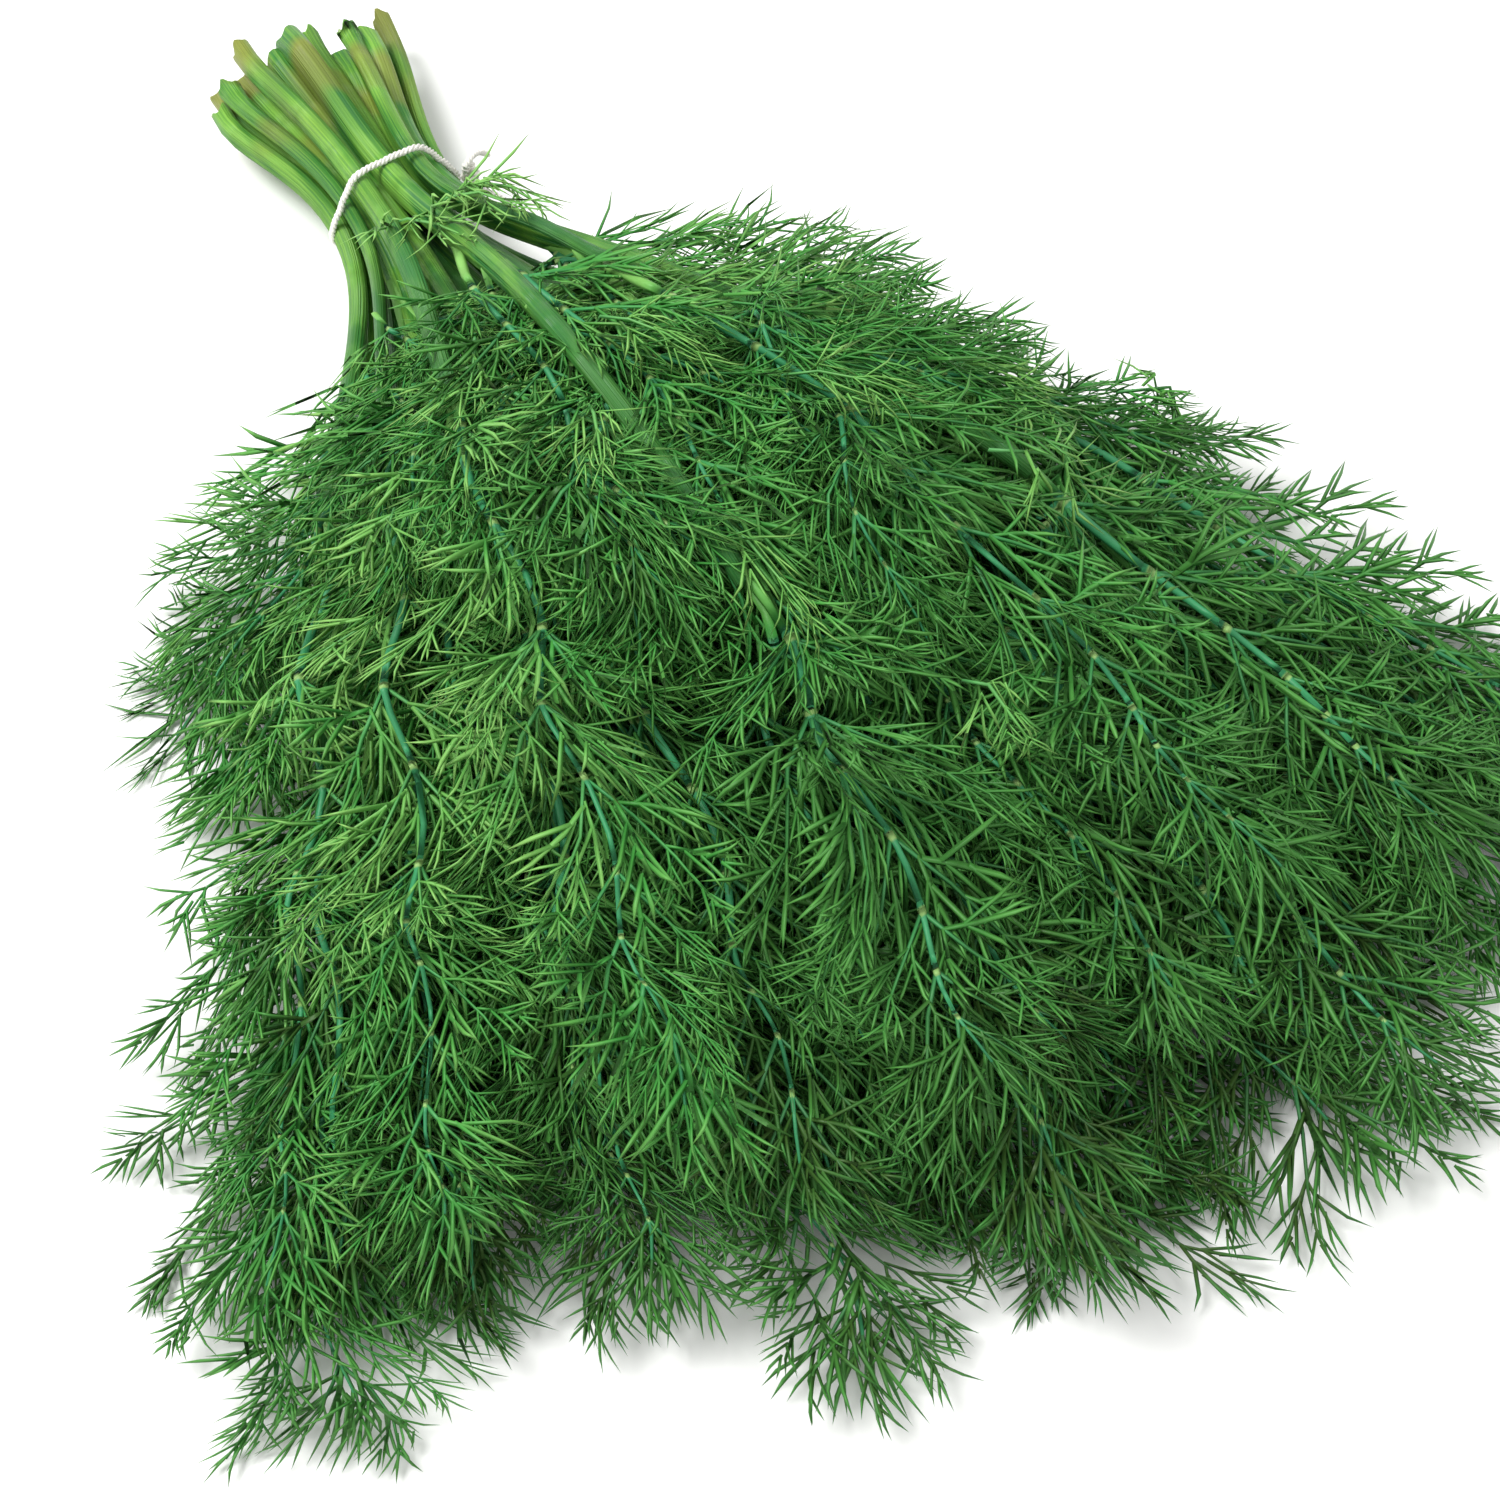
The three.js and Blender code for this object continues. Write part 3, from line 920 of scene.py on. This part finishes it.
class DILL_OT_stems(bpy.types.Operator):
    """Grow the nineteen ribbed stems with their cut ends"""

    bl_idname = "dill.stems"
    bl_label = "Stems"

    def execute(self, context):
        settings = context.scene.dill_stem
        rind, pith = stem_material(settings), pith_material(settings)
        for number, node in enumerate(STEMS):
            self.stem(node, settings, [rind, pith], random.Random(50 + number))
        return {"FINISHED"}

    def stem(self, node, settings, materials, rng):
        """A rod with ribs, a broad side, and a flared, torn and open cut end."""
        path = stem_path(node)
        start, end = stem_width(node)

        def wide(share):
            return (start + (end - start) * share) / 2 * settings.plumpness

        bm = bmesh.new()
        steps = max(26, round(path.length / (4.5 * MM)))
        flare = rng.uniform(1.0, 1.4)
        sections = []
        rest = (path.length * step / steps for step in range(1, steps + 1))
        for along in (0.0, 0.4 * MM, *rest):
            near_cut = math.exp(-along / (5 * MM))
            sections.append((along, wide(along / path.length) * (1 + (flare - 1) * near_cut)))
        rod(bm, sections, settings.ribs * 2)
        bm.faces.ensure_lookup_table()
        cut = min(bm.faces, key=lambda face: face.calc_center_median().y)
        self.open_end(bm, cut, wide(0), rng)
        mesh = closed_mesh(bm, node)
        flat = vertex_points(mesh)
        around = np.arctan2(flat[:, 2], flat[:, 0])
        twist = rng.uniform(-1, 1) * flat[:, 1] / path.length
        ribbed = 1 + settings.rib_height * np.cos(settings.ribs * around)
        broad = 1 + 0.13 * np.cos(2 * (around + twist + rng.uniform(0, 3)))
        flat[:, [0, 2]] *= (ribbed * broad)[:, None]
        torn = np.clip(1 - flat[:, 1] / (6 * MM), 0, 1)
        ragged = np.sin(around * 2 + rng.uniform(0, 6))
        ragged += 0.5 * np.sin(around * 5 + rng.uniform(0, 6))
        flat[:, 1] += torn * ragged * 1.1 * MM
        lay_rod(node, mesh, flat, around, path, materials)

    def open_end(self, bm, face, radius, rng):
        """A hollow, pale cut end: the rim turns in and the middle sinks."""
        face.material_index = 1
        rim = bmesh.ops.inset_individual(bm, faces=[face], thickness=radius * 0.22)["faces"]
        for one in rim:
            one.material_index = 1
        depth = rng.uniform(0.4, 1.6) * MM
        bmesh.ops.translate(bm, vec=(0, depth * 0.3, 0), verts=face.verts[:])
        bmesh.ops.inset_individual(bm, faces=[face], thickness=radius * 0.2)
        bmesh.ops.translate(bm, vec=(0, depth, 0), verts=face.verts[:])


class DILL_OT_side_leaves(bpy.types.Operator):
    """Grow the two side leaves of each thick stem"""

    bl_idname = "dill.side_leaves"
    bl_label = "Side leaves"

    def execute(self, context):
        grow_leaves(context.scene, SIDE_LEAVES, 100)
        return {"FINISHED"}


class DILL_OT_end_leaves(bpy.types.Operator):
    """Grow the leaf at the end of each stem and stalk"""

    bl_idname = "dill.end_leaves"
    bl_label = "End leaves"

    def execute(self, context):
        grow_leaves(context.scene, END_LEAVES, 200)
        return {"FINISHED"}


class DILL_OT_young_leaves(bpy.types.Operator):
    """Grow short young leaves past the string, and light ones on top of the heap"""

    bl_idname = "dill.young_leaves"
    bl_label = "Young leaves"

    def execute(self, context):
        garden, material = garden_of(context.scene, "young")
        points = np.concatenate([solid_points(node) for node in NODES if "string" not in node])
        points = points[points[:, 1] < TIE[1]]
        for stem in STEMS[7:]:
            rng = random.Random(400 + int(stem[5:]))
            path = stem_path(stem)
            tie = float(np.interp(-TIE[1], -path.points[:, 1], path.along))
            # The middle of the fan stays bare a little longer than its sides.
            outer = abs(path.points[-1, 0]) > 25 * MM
            first = rng.uniform(30, 46) if outer else rng.uniform(46, 66)
            along, side = tie + first * MM, rng.choice((-1, 1))
            if stem in STEMS[-3:]:
                root, forward = path.spot(tie + rng.uniform(12, 22) * MM)
                swing = rng.choice((-1, 1)) * degrees(rng, 24, 12)
                above = points + np.array([0, 0, 5 * MM])
                leaf = heap_path(root, forward, swing, 34 * MM, above, 1.0, rng)
                self.sprig("sprig_" + stem[5:], garden, material, rng, leaf, 0.62)
            while along < min(tie + 122 * MM, path.length - 4 * MM):
                past = (along - tie) / (120 * MM)
                root, forward = path.spot(along)
                length = (38 + 30 * past + rng.uniform(-6, 10)) * MM
                swing = side * degrees(rng, 48, 14)
                leaf = heap_path(root, forward, swing, length, points, 0.74 + 0.26 * past, rng)
                tint = 0.52 - 0.3 * past + rng.uniform(-0.15, 0.15)
                name = f"young_leaf_{stem[5:]}_{round(along / MM)}"
                lay_leaf(name, garden, material, rng, leaf, 8 * MM, length * 0.36, tint)
                along += rng.uniform(21, 32) * MM
                side = -side
        above = points + np.array([0, 0, 4 * MM])
        for number, (turn, reach, heading) in enumerate(LIGHT_SPOTS):
            rng = random.Random(500 + number)
            turn, heading = math.radians(turn), math.radians(heading)
            root = TIE + reach * MM * np.array([math.sin(turn), -math.cos(turn), 0])
            root[2] = heap_height(root[None, :2], points)[0] - 5 * MM
            forward = np.array([math.sin(heading), -math.cos(heading), 0])
            leaf = heap_path(root, forward, 0.2, rng.uniform(24, 34) * MM, above, 1.0, rng)
            self.sprig(f"light_leaf_{number + 1:02d}", garden, material, rng, leaf, 0.8)
        return {"FINISHED"}

    def sprig(self, name, garden, material, rng, path, tint):
        """A tiny light-green leaf."""
        spray = Spray()
        part, size = garden.branch(rng, path.length * 0.88)
        spray.stamp(part, Matrix.Scale(size, 4), tint)
        lay_part(name, garden, material, rng, path, spray.finish("sprig"))


class DILL_OT_under_leaves(bpy.types.Operator):
    """Grow leaves low in the heap, which close the gaps between the leaves on top"""

    bl_idname = "dill.under_leaves"
    bl_label = "Under leaves"

    def execute(self, context):
        garden, material = garden_of(context.scene)
        points = np.concatenate([solid_points(node) for node in END_LEAVES + SIDE_LEAVES])
        for number, node in enumerate(END_LEAVES):
            rng = random.Random(700 + number)
            path, bare, half_width = leaf_path(node)
            tip_x = path.points[-1, 0]
            # Under an outer leaf, both turn inwards.
            turns = (-13, 13)
            if abs(tip_x) > 85 * MM:
                turns = (4, 17) if tip_x < 0 else (-4, -17)
            for which, turn in enumerate(turns):
                length = path.length * rng.uniform(0.76, 0.92)
                swing = math.radians(turn + rng.uniform(-3, 3))
                share = rng.uniform(0.3, 0.75)
                root, forward = path.points[0], path.forward[4]
                leaf = heap_path(root, forward, swing, length, points, share, rng)
                name = f"under_{node}_{which + 1}"
                tint = rng.uniform(0.05, 0.3)
                lay_leaf(name, garden, material, rng, leaf, bare, 26 * MM, tint)
        return {"FINISHED"}


class DILL_OT_string(bpy.types.Operator):
    """Wind the cotton string round the stems, and tie its knot"""

    bl_idname = "dill.string"
    bl_label = "String"

    def execute(self, context):
        settings = context.scene.dill_string
        cotton = cotton_material(settings)
        points = solid_points("string_loop") - TIE
        turn = np.arctan2(points[:, 2], points[:, 0])
        radius = np.hypot(points[:, 0], points[:, 2])
        bins = np.unique(turn.round(3))
        far = np.array([radius[np.abs(turn - one) < 0.002].mean() for one in bins])
        around = np.linspace(0, 2 * math.pi, 361)
        wide = np.interp(around, bins, far, period=2 * math.pi)
        thick = np.ptp(points[:, 1])
        loop = np.stack(
            [wide * np.cos(around), 1.2 * MM * np.sin(around + 0.6), wide * np.sin(around)], 1
        )
        loop += TIE
        self.twisted("string_loop", loop, thick, settings, cotton, closed=True)
        low, high = (np.array(corner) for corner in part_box("string_knot"))
        centre, size = (low + high) / 2, (high - low)
        t = np.linspace(0.35, 2 * math.pi - 0.35, 150)
        knot = np.stack(
            [
                -np.sin(3 * t) * size[0] * 0.3,
                (np.cos(t) - 2 * np.cos(2 * t)) * size[1] * 0.13,
                (np.sin(t) + 2 * np.sin(2 * t)) * size[2] * 0.15,
            ],
            1,
        )
        self.twisted("string_knot", centre + knot, thick, settings, cotton)
        for number in (1, 2):
            node = f"string_tail_{number}"
            points = solid_points(node)
            line = fitted(points, points[:, 0], 2)
            low, high = points[:, 0].min() - 1.2 * MM, points[:, 0].max()
            self.twisted(node, line(np.linspace(low, high, 60)), thick, settings, cotton)
        return {"FINISHED"}

    def twisted(self, node, points, thick, settings, material, closed=False):
        """Strands twisted round a line. A closed line's strands meet their own start."""
        path = Path(points, (0.2, 1.0, 0.1) if closed else (0.31, 0.2, 0.93))
        turns = max(2, round(path.length / settings.twist))
        steps = turns * 12
        bm = bmesh.new()
        for ply in range(settings.plies):
            sections = [
                (path.length * step / steps, thick * STRAND_RADIUS) for step in range(steps + 1)
            ]
            rod(bm, sections, 8)
        mesh = closed_mesh(bm, node)
        flat = vertex_points(mesh)
        each = len(flat) // settings.plies
        around = np.arctan2(flat[:, 2], flat[:, 0])
        for ply in range(settings.plies):
            own = slice(ply * each, (ply + 1) * each)
            turn = 2 * math.pi * (flat[own, 1] / path.length * turns + ply / settings.plies)
            flat[own, 0] += np.cos(turn) * thick * STRAND_OFFSET
            flat[own, 2] += np.sin(turn) * thick * STRAND_OFFSET
        lay_rod(node, mesh, flat, around, path, [material])


class DILL_OT_stage(bpy.types.Operator):
    """Set the floor, the lights and the camera"""

    bl_idname = "dill.stage"
    bl_label = "Stage"

    def execute(self, context):
        scene = context.scene
        settings = scene.dill_stage
        low, high = (Vector(corner) for corner in CAD_BOX)
        centre = (low + high) / 2
        self.floor(settings)
        self.camera(scene, settings, centre)
        self.lights(scene, centre)
        scene.view_settings.view_transform = "Standard"
        return {"FINISHED"}

    def floor(self, settings):
        bm = bmesh.new()
        bmesh.ops.create_grid(bm, x_segments=1, y_segments=1, size=6.0)
        mesh = bpy.data.meshes.new("floor")
        bm.to_mesh(mesh)
        bm.free()
        paint = {"Base Color": settings.floor, "Roughness": 0.9}
        mesh.materials.append(surface(new_material("matt_pale_floor"), paint))
        new_object("floor", mesh)

    def camera(self, scene, settings, centre):
        data = bpy.data.cameras.new("camera")
        data.sensor_width = 36
        data.angle = settings.field
        camera = new_object("camera", data)
        turn, rise = settings.azimuth, settings.elevation
        level = math.cos(rise)
        back = Vector((math.sin(turn) * level, -math.cos(turn) * level, math.sin(rise)))
        aim = centre + Vector(AIM)
        camera.location = aim + back * settings.distance
        camera.rotation_euler = back.to_track_quat("Z", "Y").to_euler()
        scene.camera = camera

    def lights(self, scene, centre):
        world = bpy.data.worlds.new("studio")
        world.use_nodes = True
        background = world.node_tree.nodes["Background"]
        background.inputs[0].default_value = (1, 1, 1, 1)
        background.inputs[1].default_value = ROOM_LIGHT
        scene.world = world
        for name, place, size, power in LIGHTS:
            data = bpy.data.lights.new(name, "AREA")
            data.size = size
            data.energy = power
            light = new_object(name, data)
            light.location = centre + Vector(place)
            light.rotation_euler = (light.location - centre).to_track_quat("Z", "Y").to_euler()


class DILL_PT_panel(bpy.types.Panel):
    """Lists the steps that make the bunch, in their order"""

    bl_idname = "DILL_PT_panel"
    bl_label = "Bunch of dill"
    bl_space_type = "VIEW_3D"
    bl_region_type = "UI"
    bl_category = "Dill"

    def draw(self, context):
        for operator in OPERATORS:
            self.layout.operator(operator.bl_idname)


SETTINGS = {
    "dill_leaf": DillLeafSettings,
    "dill_stem": DillStemSettings,
    "dill_string": DillStringSettings,
    "dill_stage": DillStageSettings,
}
OPERATORS = [
    DILL_OT_stage,
    DILL_OT_stems,
    DILL_OT_side_leaves,
    DILL_OT_end_leaves,
    DILL_OT_young_leaves,
    DILL_OT_under_leaves,
    DILL_OT_string,
]
CLASSES = [*SETTINGS.values(), *OPERATORS, DILL_PT_panel]


def register():
    for one in CLASSES:
        bpy.utils.register_class(one)
    for name, group in SETTINGS.items():
        setattr(bpy.types.Scene, name, PointerProperty(type=group))


def unregister():
    for name in SETTINGS:
        delattr(bpy.types.Scene, name)
    for one in reversed(CLASSES):
        bpy.utils.unregister_class(one)


def main():
    register()
    bpy.ops.dill.stage()
    bpy.ops.dill.stems()
    bpy.ops.dill.side_leaves()
    bpy.ops.dill.end_leaves()
    bpy.ops.dill.young_leaves()
    bpy.ops.dill.under_leaves()
    bpy.ops.dill.string()


if __name__ == "__main__":
    main()
